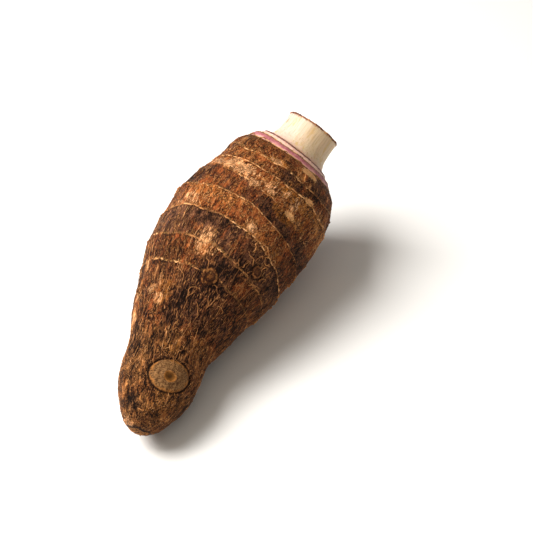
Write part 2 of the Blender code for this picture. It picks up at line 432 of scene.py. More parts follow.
@dataclass
class GrownShape:
    """The corm's outline, the relief of its skin, its bend, and where it lies."""

    axis: Sequence[Sequence[float]] = (
        (0, -9.1, 16.5), (14, -6.8, 17.8), (32.2, -3.1, 19.3), (57, 0.5, 25.7), (88.2, 1.8, 32.8),
        (119.6, 0.6, 38), (143.9, -5.2, 45), (165.6, -8.7, 56.6), (184.5, -14.4, 69.1),
    )
    outline: Sequence[Sequence[float]] = (
        (0, 0), (1, 4.6), (6.2, 9.8), (15, 14.4), (25.3, 18.2), (35.2, 19.6), (47.6, 20.1), (61, 24.2),
        (76.5, 28.7), (94.1, 34), (111.7, 36.3), (126.1, 37.2), (140.6, 36.3), (154.1, 33.9),
        (163.9, 31.3), (168.6, 29.4), (172, 26.4),
    )
    crown: float = 172.0
    crown_skew: float = 0.08
    skew_span: Sequence[float] = (148.0, 172.0, 179.0, 193.0)
    stations: int = 292
    sides: int = 330
    axis_count: int = 240
    gap: float = 0.3
    fade_radius: float = 10.0
    fade_length: float = 4.0
    profile: Array = field(init=False)
    radii: Array = field(init=False)
    bend_table: Array = field(init=False)
    shift: Array = field(init=False)

    def __post_init__(self) -> None:
        """Work out the outline, the bend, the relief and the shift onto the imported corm."""
        rise = [(along, radius, 0.0) for along, radius in self.outline]
        self.profile = np.maximum(even_points(smooth_path(rise, 10), self.stations)[:, :2], 0.0)
        self.bend_table = self.axis_frames()
        self.radii = self.relief_grid()
        self.shift = np.zeros(3)
        placed = self.bent(self.surface_grid().reshape(-1, 3))
        low, high = (np.array(corner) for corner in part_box("corm"))
        middle = (placed.min(axis=0) + placed.max(axis=0)) / 2
        self.shift = (low + high) / 2 - middle
        self.shift[2] = high[2] - placed[:, 2].max()

    def axis_frames(self) -> Array:
        """The bent axis at every mm: a place, and the directions along it, to its side and up, in mm."""
        path = smooth_path(self.axis, 12)
        length = np.linalg.norm(np.diff(path, axis=0), axis=1).sum()
        places = even_points(path, round(length) + 1)
        extra = np.arange(1, self.axis_count - len(places) + 1)[:, None]
        places = np.vstack([places, places[-1] + extra * (places[-1] - places[-2])])
        reach = np.arange(self.axis_count)
        along = places[np.minimum(reach + 4, self.axis_count - 1)] - places[np.maximum(reach - 4, 0)]
        along /= np.linalg.norm(along, axis=1, keepdims=True)
        side = np.cross((0.0, 0.0, 1.0), along)
        side /= np.linalg.norm(side, axis=1, keepdims=True)
        return np.hstack([places, along, side, np.cross(along, side)])

    def bent(self, straight: Array) -> Array:
        """Give points of the straight corm its bend and its place.

        Args:
            straight: Points in mm, one row each.

        Returns:
            Their places in the frame, in metres.
        """
        start, full, fall, end = self.skew_span
        rise = ease((straight[:, 0] - start) / (full - start))
        rise = rise * ease((end - straight[:, 0]) / (end - fall))
        along = straight[:, 0] + straight[:, 1] * self.crown_skew * rise
        spot = np.clip(along, 0.0, self.axis_count - 2.001)
        row = spot.astype(int)
        share = (spot - row)[:, None]
        mixed = self.bend_table[row] * (1 - share) + self.bend_table[row + 1] * share
        place, ahead, side, up = (mixed[:, i : i + 3] for i in (0, 3, 6, 9))
        offset = ahead * (along - spot)[:, None] + side * straight[:, 1:2] + up * straight[:, 2:3]
        return (place + offset) * MM + self.shift

    @property
    def base(self) -> float:
        """How far along the pieces on the crown begin, in mm."""
        return self.crown + self.gap

    def side_angles(self) -> Array:
        """The angles of the skin's sides, in radians."""
        return np.linspace(-math.pi, math.pi, self.sides, endpoint=False)

    def outline_radius(self, along: float) -> float:
        """The outline's radius at a distance along the corm, in mm."""
        return np.interp(along, self.profile[:, 0], self.profile[:, 1])

    def relief_grid(self) -> Array:
        """The radius in mm at every station and every side, with the skin's relief on it."""
        along, radius = self.profile[:, :1], self.profile[:, 1:]
        fade = np.minimum(radius / self.fade_radius, 1.0)
        fade = fade * np.clip((self.crown - along) / self.fade_length, 0.0, 1.0)
        along, around, radius = np.broadcast_arrays(along, self.side_angles(), radius)
        grown = np.vectorize(self.grown_relief, otypes=[float])(along, around, radius)
        return radius + fade * (grown + self.marked_relief(along, around, radius))

    @staticmethod
    def grown_relief(along: float, angle: float, radius: float) -> float:
        """The skin's lumps, knobs, lengthwise ridges and crumbs, in mm."""
        side, up = radius * math.sin(angle), radius * math.cos(angle)
        return sum(
            height * noise.noise(Vector((along / length, side / width, up / width)))
            for height, length, width in GRAIN
        )

    def marked_relief(self, along: Array, angle: Array, radius: Array) -> Array:
        """The leaf scars, the side shoot's scar, the buds and the bellies, in mm."""
        relief = np.zeros_like(along)
        for scar in LEAF_SCARS[:-1]:
            below = scar.place(angle) - along
            relief += SHOULDER * bell(below, np.where(below > 0, SHOULDER_ROOT_SPAN, SHOULDER_CROWN_SPAN))
            relief += LIP * scar.boldness * bell(below, LIP_SPAN)
        points = off_axis(along, radius, angle)
        ringed = ((CORMEL_SCAR, SCAR_RINGS), (CORMEL_EYE, EYE_RINGS), (ROOT_TIP, TIP_RINGS))
        for mark, rings in (*ringed, *((bud, BUD_RINGS) for bud in BUDS + SMALL_BUDS)):
            away = self.distance(points, mark)
            relief += mark.rise * bell(away, BUD_WIDTH)
            relief += sum(rise * bell(away - middle, width) for rise, middle, width in rings)
        under = bell(math.pi - np.abs(angle), 1.1)
        for at, rise, span in BELLIES:
            relief += under * rise * bell(along - at, span)
        return relief

    def distance(self, points: Array, mark: Mark) -> Array:
        """How far points of the straight corm are from a mark's middle, in the mark's radii."""
        angle, turn = math.radians(mark.degrees), math.radians(mark.turn)
        offset = points - off_axis(mark.along, self.outline_radius(mark.along), angle)
        around = offset[..., 1] * math.cos(angle) - offset[..., 2] * math.sin(angle)
        outward = offset[..., 1] * math.sin(angle) + offset[..., 2] * math.cos(angle)
        longer = (offset[..., 0] * math.cos(turn) + around * math.sin(turn)) / mark.stretch
        shorter = (around * math.cos(turn) - offset[..., 0] * math.sin(turn)) * mark.stretch
        return np.sqrt(longer**2 + shorter**2 + outward**2) / mark.radius

    def patch_share(self, points: Array, patches: Sequence[Patch]) -> Array:
        """How much of some patches each point has, from 0 up to their strength."""
        share = np.zeros(len(points))
        for patch in patches:
            middle = off_axis(patch.along, self.outline_radius(patch.along), math.radians(patch.degrees))
            squares = (points - middle) ** 2
            far = squares[:, 0] / patch.length**2 + squares[:, 1:].sum(axis=1) / patch.width**2
            share = np.maximum(share, patch.strength * np.exp(-(far**1.5)))
        return share

    def surface_grid(self) -> Array:
        """The straight corm's skin as a grid of points in mm."""
        return off_axis(self.profile[:, :1], self.radii, self.side_angles())

    def on_skin(self, rows: Array, angles: Array, lift: Array) -> Array:
        """Points on the straight corm's skin.

        Args:
            rows: How far along the outline they are, counted in stations.
            angles: Their angles round the corm, in radians.
            lift: How far off the skin they stand, in mm.

        Returns:
            The points in mm, one row each in the shape of the arguments.
        """
        rows = np.clip(rows, 0.0, self.stations - 1.001)
        row = rows.astype(int)
        down = rows - row
        turns = (angles + math.pi) / math.tau * self.sides
        column = np.floor(turns).astype(int)
        over = turns - column
        column, following = column % self.sides, (column + 1) % self.sides
        near = self.radii[row, column] * (1 - over) + self.radii[row, following] * over
        far = self.radii[row + 1, column] * (1 - over) + self.radii[row + 1, following] * over
        slope = np.gradient(self.profile, axis=0)
        slope /= np.linalg.norm(slope, axis=1, keepdims=True)
        along = self.profile[row, 0] * (1 - down) + self.profile[row + 1, 0] * down
        radius = near * (1 - down) + far * down + lift * slope[row, 0]
        return off_axis(along - lift * slope[row, 1], radius, angles)


def carry(mesh: Mesh, name: str, values: Array) -> None:
    """Store a number or a vector with each of a mesh's points, for its material to read."""
    kind, field_name = ("FLOAT_VECTOR", "vector") if values.ndim > 1 else ("FLOAT", "value")
    layer = mesh.attributes.new(name, kind, "POINT")
    layer.data.foreach_set(field_name, values.astype(np.float32).ravel())


def places_of(mesh: Mesh) -> Array:
    """A mesh's points, one row each."""
    found = np.empty(len(mesh.vertices) * 3, np.float32)
    mesh.vertices.foreach_get("co", found)
    return found.reshape(-1, 3).astype(float)


def move_points(mesh: Mesh, places: Array) -> None:
    """Move a mesh's points to new places, one row each."""
    mesh.vertices.foreach_set("co", places.astype(np.float32).ravel())


def lay_down(piece: Piece, shape: GrownShape, material: Material) -> None:
    """Bend a straight piece, put it in the frame and dress it.

    Args:
        piece: The piece, still straight and in mm.
        shape: The corm's shape.
        material: Its finish.
    """
    mesh = piece.data
    straight = places_of(mesh)
    carry(mesh, "straight", straight)
    placed = shape.bent(straight)
    placed[:, 2] = np.maximum(placed[:, 2], 0.0)
    move_points(mesh, placed)
    mesh.materials.clear()
    mesh.materials.append(material)
    mesh.shade_smooth()
    mesh.update()
    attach(piece, BODY)
    log.info("%s: %d points, %d faces", piece.name, len(mesh.vertices), len(mesh.polygons))


def turned(name: str, profile: Array, sides: int) -> Piece:
    """A closed piece turned about X.

    Args:
        name: The piece's name.
        profile: Its outline as (along, radius) in mm, from one end of the axis to the other or as a loop.
        sides: How many sides it has.

    Returns:
        The new piece, in mm.
    """
    bm = bmesh.new()
    verts = [bm.verts.new((along, 0.0, -radius)) for along, radius in profile]
    edges = [bm.edges.new(pair) for pair in zip(verts, verts[1:])]
    if profile[0][1] > 0:
        edges.append(bm.edges.new((verts[-1], verts[0])))
    bmesh.ops.spin(
        bm, geom=verts + edges, cent=(0, 0, 0), axis=(1, 0, 0), angle=math.tau, steps=sides, use_merge=True
    )
    bmesh.ops.remove_doubles(bm, verts=bm.verts, dist=0.0001)
    bmesh.ops.recalc_face_normals(bm, faces=bm.faces)
    mesh = bpy.data.meshes.new(name)
    bm.to_mesh(mesh)
    bm.free()
    return linked(name, mesh)


def linked(name: str, data: bpy.types.ID) -> Piece:
    """A mesh, curve, camera or light as an object of the scene."""
    piece = bpy.data.objects.new(name, data)
    bpy.context.scene.collection.objects.link(piece)
    return piece


# --- Finishes ---


@dataclass(frozen=True)
class SkinFinish:
    """The corm's dry skin: mottled and streaked lengthwise, with cracks, pits and tan flecks."""

    # Near-black: the darkest skin, and painted shade in cracks, pits, creases, grooves and under the leaf
    # scars' edges.
    pit: Colour = paint(24, 11, 5)
    purple: Colour = paint(110, 70, 50)
    brown: Colour = paint(98, 54, 25)
    red: Colour = paint(154, 80, 40)
    orange: Colour = paint(190, 110, 50)
    gold: Colour = paint(172, 104, 36)
    yellow: Colour = paint(122, 82, 44)
    tan: Colour = paint(214, 142, 78)
    peach: Colour = paint(255, 192, 136)
    bare: Colour = paint(252, 190, 126)
    # The tan band along the leaf scars' crown side: partly their own colour, partly a painted highlight on
    # the ridge.
    edge: Colour = paint(222, 162, 96)
    scar: Colour = paint(82, 54, 31)
    scar_grit: Colour = paint(146, 106, 66)
    scar_rim: Colour = paint(172, 108, 46)
    scar_eye: Colour = paint(112, 70, 24)
    gloss: float = 0.08

    def material(self) -> Material:
        """Make the finish."""
        w = Wiring("taro_skin")
        names = ("warmth", "light", "along", "dark", "gold", "worn", "bare", "scar_distance")
        warmth, light, along, dark, gold, wear, bareness, away = (w.attribute(name) for name in names)
        clouds = w.noise((0.035, 0.06), 3, 0.6) - 0.5
        blotches = w.noise((0.12, 0.22), 4, 0.6) - 0.5
        streaks = w.noise((0.07, 0.6), 3, 0.6) - 0.5
        fine = w.noise((0.55, 2.6), 3, 0.7) - 0.5
        swirl = w.noise((0.3, 0.3)) - 0.5
        grit = w.noise((1.4, 1.4), 3, 0.7) - 0.5
        rays = w.noise((0.9, 0.9, 2.4), 3, 0.7) - 0.5
        rough = w.noise((0.16, 0.3), 3, 0.6)
        root_half, root_end = w.step(along, 98, 62), w.step(along, 62, 40)
        short_threads = w.noise((0.22, 2), 3, 0.65) - 0.5
        long_threads = w.noise((0.08, 1.25), 4, 0.65) - 0.5
        threads = short_threads * (1 - root_half * 0.5) + long_threads * root_half
        chips = w.shaken(w.straight((0.4, 1.3)), 0.9)
        chip = w.cell_tone(chips) - 0.5
        tone = 0.48 + clouds * 0.6 + blotches * 1.05 + streaks * 0.6 + threads * 1.3 + chip * 0.34
        tone = tone + fine * (0.5 + w.step(rough, 0.36, 0.6) * 1.3) * (1 - root_half * 0.3)
        tone = tone + threads * root_half * (1 - root_end) * 0.8
        # The dark share, partly painted shade on the side turned from the key light, darkens the tone.
        tone = tone + light * 0.8 - dark * 0.3 + gold * 0.12 + root_end * 0.08
        tone = tone + wear * 0.2 + (blotches * 0.9 + streaks * 0.5 - fine * 0.8) * root_end
        hue = clouds * 1.1 + warmth * 0.26 + streaks * 0.6 - blotches * 0.7 + chip * 0.12 - dark * 0.22
        worn = w.step(wear + blotches * 1.1 + chip * 0.4 + threads * 0.6, 0.28, 0.66)
        scales = w.step(fine + chip * 0.25 + streaks * 0.3, -0.08, 0.02)
        ring = w.attribute("ring") + threads * 1.2
        # edge: the tan band on each ring's crown side, partly the scar's own colour and partly a painted
        # highlight.
        edge = w.step(ring, 1.5, 0.4) * w.step(ring, -0.3, 0.1) * w.step(rough, 0.36, 0.56)
        # under: a dark line just on the root side of each leaf scar's ring, painted shadow under its raised
        # edge.
        under = w.step(ring, -1.3, -0.7) * w.step(ring, -0.1, -0.5) * w.step(blotches, -0.1, 0.1)
        # Creases, pits and cracks take the near-black pit colour: partly dark skin, partly painted shade in
        # them.
        creases = w.ring(w.noise((0.06, 0.36), 3, 0.55), 0.5, 0.03) * w.step(rough, 0.4, 0.52)
        broken = w.step(rough + chip * 0.16 + grit * 0.4, 0.4, 0.54)
        crack = w.step(w.cells(chips, CellFeature.BORDER), 0.2, 0.05) * broken
        pits = w.step(w.noise((0.8, 2.4)), 0.45, 0.37) * w.step(rough, 0.3, 0.46) * (1 - worn * 0.5)
        flecks = w.step(w.noise((1.1, 2.8), 2, 0.6), 0.6, 0.68) * w.step(tone, 0.15, 0.45)
        bare = w.step(bareness + grit * 0.6 + (threads + blotches + fine) * 0.9, 0.5, 0.6)
        body = w.layers(
            self.brown,
            (w.step(warmth + blotches * 1.2 - dark * 0.7, 0.05, -0.3), self.purple),
            (w.step(hue, -0.12, 0.1), self.red),
            (w.step(hue, 0.12, 0.34) * 0.8, self.orange),
            (w.step(gold + blotches * 0.9 + streaks * 0.5, 0.25, 0.7) * 0.8, self.gold),
            (root_end * 0.6, self.yellow),
        )
        ragged = away + grit * 0.13 + swirl * 0.11
        eye = w.attribute("eye_distance") + grit * 0.11
        rim = w.step(ragged + swirl * 0.2, 0.85, 0.96) * w.step(rays + swirl, -0.15, 0.1)
        disc = w.layers(
            self.scar,
            (w.step(grit * 0.5 + rays * 0.5, -0.07, 0.07), self.scar_grit),
            (w.ring(away + rays * 0.3, 0.6, 0.1) * 0.4, self.scar),
            (w.step(gold + blotches + rays, 0.6, 1.1) * 0.5, self.scar_rim),
            (rim * 0.6, self.scar_rim),
            (w.step(eye, 0.28, 0.22) * 0.9, self.scar_eye),
            (w.ring(eye, 0.29, 0.06) * w.step(rays + swirl, -0.2, 0.0) * 0.8, self.scar_rim),
            # The eye's dark middle sits in a dip: partly its own colour, partly painted shade.
            (w.step(eye, 0.22, 0.03) * 0.95, self.pit),
        )
        tip = w.attribute("tip_distance") + grit * 0.35 + swirl * 0.6
        wood = w.layers(
            self.scar_eye,
            (w.step(rays + fine * 0.5, -0.1, 0.12), self.tan),
            (w.ring(tip + swirl, 0.55, 0.16) * 0.8, self.pit),
        )
        bud = w.attribute("bud_distance") + chip * 0.1 + grit * 0.3 + swirl * 0.5
        arc = w.step(streaks - swirl + blotches, -0.3, 0.0)
        colour = w.layers(
            self.pit,
            (w.step(tone, 0.08, 0.44), body),
            (w.step(tone, 0.58, 0.9) * 0.9, self.tan),
            (worn * w.step(tone, 0.3, 0.62) * 0.9, w.blend(scales, self.orange, self.tan)),
            (worn * w.step(tone, 0.46, 0.8) * (0.5 + scales * 0.5), self.peach),
            (edge * 0.7, self.edge),
            # Creases and cracks: near-black, partly painted shade.
            (creases * (0.25 + root_half * 0.65), self.pit),
            # Pits and the painted shadow under the leaf scars' edges, in the near-black pit colour.
            (w.maths("MAXIMUM", pits * 0.8, under * 0.75), self.pit),
            (crack * 0.9, w.blend(worn * 0.8, self.pit, self.brown)),
            (flecks * 0.85, w.blend(w.step(tone, 0.4, 0.75), self.tan, self.peach)),
            (bare * 0.95, w.blend(w.step(threads, -0.2, 0.05), self.tan, self.bare)),
            (w.step(ragged, 1.04, 0.99), disc),
            # A dark ring in the groove round the side shoot's scar: partly dark skin, partly painted shade in
            # the groove.
            (w.ring(ragged, 1.06, 0.1) * 0.95, self.pit),
            (w.step(tip, 1.0, 0.86) * 0.85, wood),
            # A dark ring in the groove round the root tip: partly dark skin, partly painted shade in the
            # groove.
            (w.ring(tip, 1.06, 0.2) * 0.95, self.pit),
            (w.step(bud, 0.95, 0.75) * 0.5, self.brown),
            # A dark ring in the groove round each bud: partly dark skin, partly painted shade in the groove.
            (w.ring(bud, 1.0, 0.26) * (0.3 + arc * 0.65), self.pit),
            (w.ring(bud, 0.72, 0.15) * w.step(streaks + fine - swirl, -0.08, 0.04) * 0.6, self.tan),
            (w.ring(bud, 0.5, 0.14) * (1 - arc * 0.3) * 0.85, self.pit),
            (w.step(bud, 0.3, 0.12) * w.step(fine, -0.1, 0.1) * 0.6, self.scar_rim),
        )
        off_scar = w.step(away, 0.98, 1.06)
        height = (1 - crack) * 0.4 - pits * 0.35 - creases * root_half * 0.5 + threads * 0.8
        height = height + blotches * 0.4 + chip * 0.2 + flecks * 0.3
        height = height * off_scar + (1 + grit + rays) * (1 - off_scar) * 0.35
        roughness = 0.66 - w.step(tone, 0.5, 0.95) * 0.2
        w.feed(w.shader.inputs, {"Specular IOR Level": self.gloss})
        return w.finish(colour, roughness, height, 0.9)


@dataclass(frozen=True)
class FibreFinish:
    """Dry fibres that lie on the skin, from dark brown to straw."""

    name: str = "dry_fibre"
    dark: Colour = paint(56, 31, 17)
    brown: Colour = paint(118, 72, 40)
    straw: Colour = paint(190, 128, 74)
    bright: Colour = paint(242, 184, 124)
    gloss: float = 0.2

    def material(self) -> Material:
        """Make the finish."""
        w = Wiring(self.name)
        tone, worn, dark, light = (w.attribute(name) for name in ("tone", "worn", "dark", "light"))
        specks = w.noise((0.8, 0.8))
        # The dark share, partly painted shade on the side turned from the key light, darkens the fibres too.
        shade = tone + (specks - 0.5) * 0.5 - dark * 0.3 + light * 0.6 + worn * 0.5
        colour = w.layers(
            self.dark,
            (w.step(shade, 0.1, 0.45), self.brown),
            (w.step(shade, 0.45, 0.8), self.straw),
            (w.step(shade, 0.82, 1.1), self.bright),
        )
        w.feed(w.shader.inputs, {"Specular IOR Level": self.gloss})
        return w.finish(colour, 0.7 - w.step(specks, 0.4, 0.7) * 0.15, specks, 0.12)


@dataclass(frozen=True)
class LeafBaseFinish:
    """The moist outside of a trimmed leaf base, with lengthwise streaks and a torn, dried top edge."""

    name: str
    body: Colour
    streak: Colour
    foot: Colour
    edge: Colour
    edge_share: float

    def material(self) -> Material:
        """Make the finish."""
        w = Wiring(self.name)
        rise = w.attribute("rise")
        streaks = w.noise((0.12, 0.7), 3, 0.6)
        fine = w.noise((0.25, 2.6))
        clouds = w.noise((0.3, 0.16))
        lip_start, lip_full = 1 - self.edge_share, 1 - 0.4 * self.edge_share
        colour = w.layers(
            self.body,
            (w.step(streaks + (fine - 0.5) * 0.5, 0.35, 0.68), self.streak),
            (w.step(rise + (clouds - 0.5) * 1.1, 0.42, 0.0), self.foot),
            (w.step(rise + (fine - 0.5) * 0.25, lip_start, lip_full), self.edge),
        )
        return w.finish(colour, 0.5 + fine * 0.25, fine + streaks, 0.12)


@dataclass(frozen=True)
class StalkFinish:
    """The stub's cream flesh with fine veins, a pink flare at its foot, a browned cut and a painted paler lit
    side.
    """

    # cream is the colour of the stub's shaded side and pale that of its lit side: painted light and shade
    # across the stub.
    cream: Colour = paint(215, 191, 158)
    pale: Colour = paint(208, 190, 176)
    straw: Colour = paint(204, 170, 108)
    line: Colour = paint(180, 154, 116)
    pink: Colour = paint(218, 164, 150)
    core: Colour = paint(206, 158, 88)
    core_ring: Colour = paint(140, 92, 44)
    outer_ring: Colour = paint(222, 190, 138)
    nick: Colour = paint(150, 88, 42)
    glow: float = 0.8
    depth: float = 0.009
    spread: Colour = (1.0, 0.75, 0.5)

    def material(self) -> Material:
        """Make the finish."""
        w = Wiring("taro_stalk")
        names = ("rise", "cut_radius", "cut_face", "pale", "nick")
        rise, cut, face, pale, nick = (w.attribute(name) for name in names)
        veins = w.noise((0.05, 1), 3, 0.6) - 0.5
        fine = w.noise((0.12, 3)) - 0.5
        stains = w.noise((0.14, 0.3), 3, 0.6)
        lines = w.noise((0.06, 3.4), 2, 0.6)
        specks = w.cells(w.straight((0.1, 0.3)), CellFeature.MIDDLE)
        side = w.layers(
            self.cream,
            # Paler towards the lit side: painted light.
            (w.step(pale, 0.45, 0.95), self.pale),
            (w.step(stains + veins * 0.7 + fine * 0.3, 0.52, 0.78) * 0.85, self.straw),
            (w.step(lines, 0.48, 0.62) * 0.6, self.line),
            (w.step(rise + veins * 0.4, 0.46, 0.22) * 0.7, self.pink),
            (w.step(rise + veins * 0.12 + fine * 0.08, 0.935, 0.985) * 0.75, self.nick),
            (w.step(specks, 0.085, 0.04) * 0.75, self.nick),
            (w.step(nick + fine * 0.4, 0.3, 0.6) * 0.85, self.nick),
        )
        swirl = w.noise((1, 0.2), 4, 0.6)
        pores = w.noise((1, 1.6), 3, 0.7)
        waves = w.maths("SINE", cut * 17 + swirl * 13)
        wander = cut + (swirl - 0.5) * 0.3
        outer = w.blend(w.step(pores + fine * 0.3, 0.5, 0.72) * 0.7, self.outer_ring, self.core)
        flesh = w.layers(
            self.core,
            (w.step(waves + (pores - 0.5) * 3.5, -0.2, 1.5), self.core_ring),
            (w.step(wander, 0.6, 0.68), outer),
            (w.ring(wander, 0.64, 0.05) * 0.7, self.core_ring),
            (w.step(cut, 0.93, 0.99) * 0.7, self.pink),
        )
        glow = {"Weight": self.glow, "Scale": self.depth, "Radius": self.spread}
        w.feed(w.shader.inputs, {f"Subsurface {name}": value for name, value in glow.items()})
        height = 0.65 + veins * 0.8 + fine * 0.5
        return w.finish(w.blend(face, side, flesh), 0.545 + fine * 0.25, height, 0.1)


@dataclass(frozen=True)
class FloorFinish:
    """The plain pale floor."""

    shade: Colour = (0.9, 0.9, 0.9)
    roughness: float = 0.9

    def material(self) -> Material:
        """Make the finish."""
        w = Wiring("floor")
        w.feed(w.shader.inputs, {"Base Color": w.solid(self.shade), "Roughness": self.roughness})
        return w.material


# --- The corm ---


@dataclass
class CormSkin:
    """The swollen stem's outside, as one closed skin."""

    shape: GrownShape

    def build(self, material: Material) -> None:
        """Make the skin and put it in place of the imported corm."""
        end = self.shape.profile[-1]
        cap = np.array([(end[0], end[1] * share) for share in (0.97, 0.5, 0.0)])
        piece = turned("corm_skin", np.vstack([self.shape.profile, cap]), self.shape.sides)
        self.raise_relief(piece.data)
        straight = places_of(piece.data)
        dress_points(piece.data, self.shape)
        marks = {"scar_distance": CORMEL_SCAR, "eye_distance": CORMEL_EYE, "tip_distance": ROOT_TIP}
        for name, mark in marks.items():
            carry(piece.data, name, np.minimum(self.shape.distance(straight, mark), 3.0))
        buds = [self.shape.distance(straight, bud) for bud in BUDS + SMALL_BUDS]
        carry(piece.data, "bud_distance", np.minimum(np.min(buds, axis=0), 3.0))
        lay_down(piece, self.shape, material)
        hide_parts("corm")

    def raise_relief(self, mesh: Mesh) -> None:
        """Move the turned skin's points out to the grown surface."""
        points = places_of(mesh)
        radius = np.hypot(points[:, 1], points[:, 2])
        angle = np.arctan2(points[:, 1], points[:, 2])
        turned_from = np.stack([points[:, 0], radius], axis=1)
        gaps = np.abs(self.shape.profile[None] - turned_from[:, None]).sum(axis=2)
        order = np.argmin(gaps, axis=1)
        on_outline = gaps[np.arange(len(gaps)), order] < 0.05
        column = np.round((angle + math.pi) / math.tau * self.shape.sides).astype(int) % self.shape.sides
        grown = np.where(on_outline, self.shape.radii[order, column], radius)
        share = np.where(radius > 0.01, grown / np.maximum(radius, 0.01), 1.0)
        points[:, 1:] *= share[:, None]
        move_points(mesh, points)


def dress_points(mesh: Mesh, shape: GrownShape) -> None:
    """Store how worn, bare, dark, golden, light and warm the skin is at each of a mesh's points."""
    straight = places_of(mesh)
    angle = np.arctan2(straight[:, 1], straight[:, 2])
    light = np.zeros(len(straight))
    warmth = np.zeros(len(straight))
    below = np.full(len(straight), -99.0)
    for scar in LEAF_SCARS:
        share = ease((straight[:, 0] - below) / 0.8 + 0.5)
        light = light * (1 - share) + scar.light * share
        warmth = warmth * (1 - share) + scar.warmth * share
        below = scar.place(angle)
    bold = [scar for scar in LEAF_SCARS if scar.boldness > 0.4]
    rings = np.stack([straight[:, 0] - scar.place(angle) for scar in bold])
    nearest = np.argmin(np.abs(rings), axis=0)
    carry(mesh, "ring", np.clip(rings[nearest, np.arange(len(straight))], -4.0, 4.0))
    carry(mesh, "along", straight[:, 0])
    carry(mesh, "light", light)
    carry(mesh, "warmth", warmth)
    # The dark share holds painted shade too, on the side turned from the key light.
    for name, patches in PATCHES.items():
        carry(mesh, name, shape.patch_share(straight, patches))


@dataclass
class Strands:
    """One kind of dry strand on the skin, as one piece.

    Lengths and thicknesses are (least, most) in mm, the thickness being a radius. The spread and the curl
    are in degrees, the lift in mm, and the tones are (mean, spread). None lies where the skin is barer than
    the limit.
    """

    name: str
    count: int
    points: int
    length: tuple[float, float]
    thickness: tuple[float, float]
    spread: float
    curl: float
    lift: float
    tone: tuple[float, float]
    seed: int
    span: tuple[float, float] = (0.5, 171.0)
    around: tuple[float, float] = (-180.0, 180.0)
    bare_limit: float = 0.45

    def starts(self, shape: GrownShape, rng: np.random.Generator) -> tuple[Array, Array]:
        """Where the strands begin: their rows along the outline and their angles."""
        along, radius = shape.profile.T
        weights = radius * ((along > self.span[0]) & (along < self.span[1]))
        rows = rng.choice(shape.stations, self.count, p=weights / weights.sum()) + rng.random(self.count)
        return rows, np.radians(rng.uniform(*self.around, self.count))

    def build(self, shape: GrownShape, material: Material) -> None:
        """Grow the strands over the skin and lay them down with it."""
        rng = np.random.default_rng(self.seed)
        rows, angles = self.starts(shape, rng)
        heading = np.radians(rng.normal(0.0, self.spread, self.count))
        curl = np.radians(rng.normal(0.0, self.curl, self.count)) / self.points
        length = rng.uniform(*self.length, self.count) * rng.uniform(0.5, 1.0, self.count)
        stride = length / (self.points - 1)
        spacing = np.linalg.norm(shape.profile[1] - shape.profile[0])
        shares = np.linspace(0.0, 1.0, self.points)
        lift = self.lift * rng.random(self.count) ** 2
        places = []
        for share in shares:
            arch = lift * math.sin(math.pi * share) + 0.02
            places.append(shape.on_skin(rows, angles, arch))
            radius = np.interp(rows, np.arange(shape.stations), shape.profile[:, 1])
            rows = rows + stride * np.cos(heading) / spacing
            angles = angles + stride * np.sin(heading) / np.maximum(radius, 4.0)
            heading = heading + curl + np.radians(rng.normal(0.0, self.curl * 0.3, self.count))
        paths = np.stack(places, axis=1)
        middle = rng.uniform(*self.thickness, self.count)
        taper = 0.25 + 0.75 * np.sin(math.pi * np.clip(shares * 0.86 + 0.07, 0, 1)) ** 0.8
        tones = np.clip(rng.normal(*self.tone, self.count), 0.0, 1.0)
        middles = paths[:, self.points // 2]
        kept = shape.patch_share(middles, BARE) < self.bare_limit
        for mark, limit in ((CORMEL_SCAR, 1.06), *((bud, 1.1) for bud in BUDS)):
            kept &= shape.distance(middles, mark) > limit
        piece = swept(self.name, paths[kept], middle[kept, None] * taper, tones[kept])
        dress_points(piece.data, shape)
        lay_down(piece, shape, material)


def swept(name: str, paths: Array, radii: Array, tones: Sequence[float]) -> Piece:
    """Thin round strands along paths, joined as one mesh piece.

    Args:
        name: The piece's name.
        paths: The strands' points in mm, as an array of strands by points by 3.
        radii: Their radii in mm, as an array of strands by points.
        tones: How pale each strand is, from 0 to 1.

    Returns:
        The new piece.
    """
    curve = bpy.data.curves.new(name, "CURVE")
    curve.dimensions = "3D"
    curve.bevel_depth = 1.0
    curve.bevel_resolution = 0
    curve.use_fill_caps = True
    for path, radius in zip(paths, radii):
        spline = curve.splines.new("POLY")
        spline.points.add(len(path) - 1)
        spline.points.foreach_set("co", np.hstack([path, np.ones((len(path), 1))]).ravel())
        spline.points.foreach_set("radius", radius)
    holder = linked(name + "_line", curve)
    bpy.context.view_layer.update()
    depsgraph = bpy.context.evaluated_depsgraph_get()
    mesh = bpy.data.meshes.new_from_object(holder.evaluated_get(depsgraph), depsgraph=depsgraph)
    bpy.data.objects.remove(holder)
    bpy.data.curves.remove(curve)
    carry(mesh, "tone", np.repeat(tones, len(mesh.vertices) // len(paths)))
    return linked(name, mesh)


